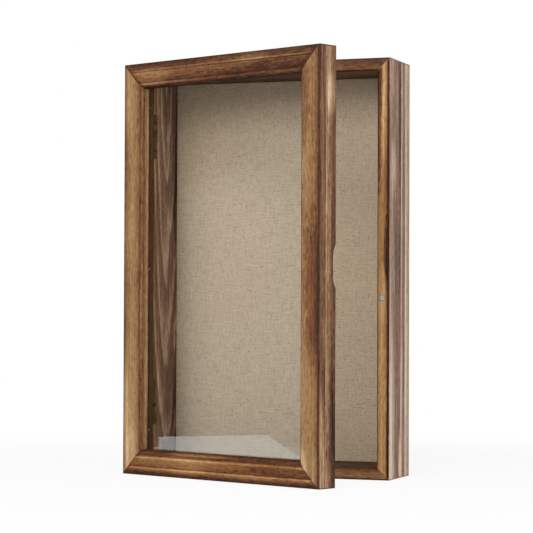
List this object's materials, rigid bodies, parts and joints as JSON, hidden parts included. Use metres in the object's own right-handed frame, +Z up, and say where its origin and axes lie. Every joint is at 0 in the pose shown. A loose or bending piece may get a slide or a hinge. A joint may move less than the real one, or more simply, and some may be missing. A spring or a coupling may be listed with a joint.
{
  "type": "glazed shadow box display case",
  "caption": "Shallow wooden display case with a linen-covered pin board behind a moulded, glazed door on butt hinges, shut by a magnet and opened by a finger pull.",
  "frame": {"origin": "centre of the case's underside, where it stands on a shelf", "axes": "+Z up along the case's height, +Y to the back (the wall side), -Y to the front where the door opens, +X to the right as seen from the front; the door's hinges are at -X"},
  "size_m": [0.2767, 0.1984, 0.42],
  "materials": {
    "case_pine": "torched pine, sanded and sealed",
    "door_pine": "torched pine moulding, sanded and sealed",
    "stop_pine": "dark torched pine beading",
    "hardboard": "plain brown hardboard",
    "pin_board": "soft fibre board",
    "linen": "plain-weave natural linen",
    "clear_glass": "clear float glass",
    "hinge_brass": "antique brass plate",
    "hinge_screws": "antique brass plate",
    "magnet_nickel": "nickel plate",
    "hanger_steel": "zinc plate",
    "fastener_steel": "bright steel"
  },
  "bodies": {
    "case": {"case_left_side": "case_pine", "case_right_side": "case_pine", "case_top_board": "case_pine", "case_bottom_board": "case_pine", "case_corner_vee_nails": "fastener_steel", "back_panel": "hardboard", "back_panel_brads": "fastener_steel", "pin_board": "pin_board", "linen_cover": "linen", "case_magnet": "magnet_nickel", "sawtooth_hanger": "hanger_steel", "hanger_nails": "fastener_steel", "upper_hinge_case_leaf": "hinge_brass", "lower_hinge_case_leaf": "hinge_brass", "upper_hinge_pin": "hinge_brass", "lower_hinge_pin": "hinge_brass", "upper_hinge_case_screws": "hinge_screws", "lower_hinge_case_screws": "hinge_screws"},
    "door": {"door_hinge_stile": "door_pine", "door_latch_stile": "door_pine", "door_top_rail": "door_pine", "door_bottom_rail": "door_pine", "door_corner_vee_nails": "fastener_steel", "glass_pane": "clear_glass", "left_glass_stop": "stop_pine", "right_glass_stop": "stop_pine", "top_glass_stop": "stop_pine", "bottom_glass_stop": "stop_pine", "glass_stop_brads": "fastener_steel", "door_magnet": "magnet_nickel", "upper_hinge_door_leaf": "hinge_brass", "lower_hinge_door_leaf": "hinge_brass", "upper_hinge_door_screws": "hinge_screws", "lower_hinge_door_screws": "hinge_screws"}
  },
  "joints": [
    {"name": "door_hinge", "type": "hinge", "parent": "case", "child": "door", "pos_m": [-0.1359, -0.03605, 0], "axis": [0, 0, -1], "range_deg": [-22.5, 157.5]}
  ]
}
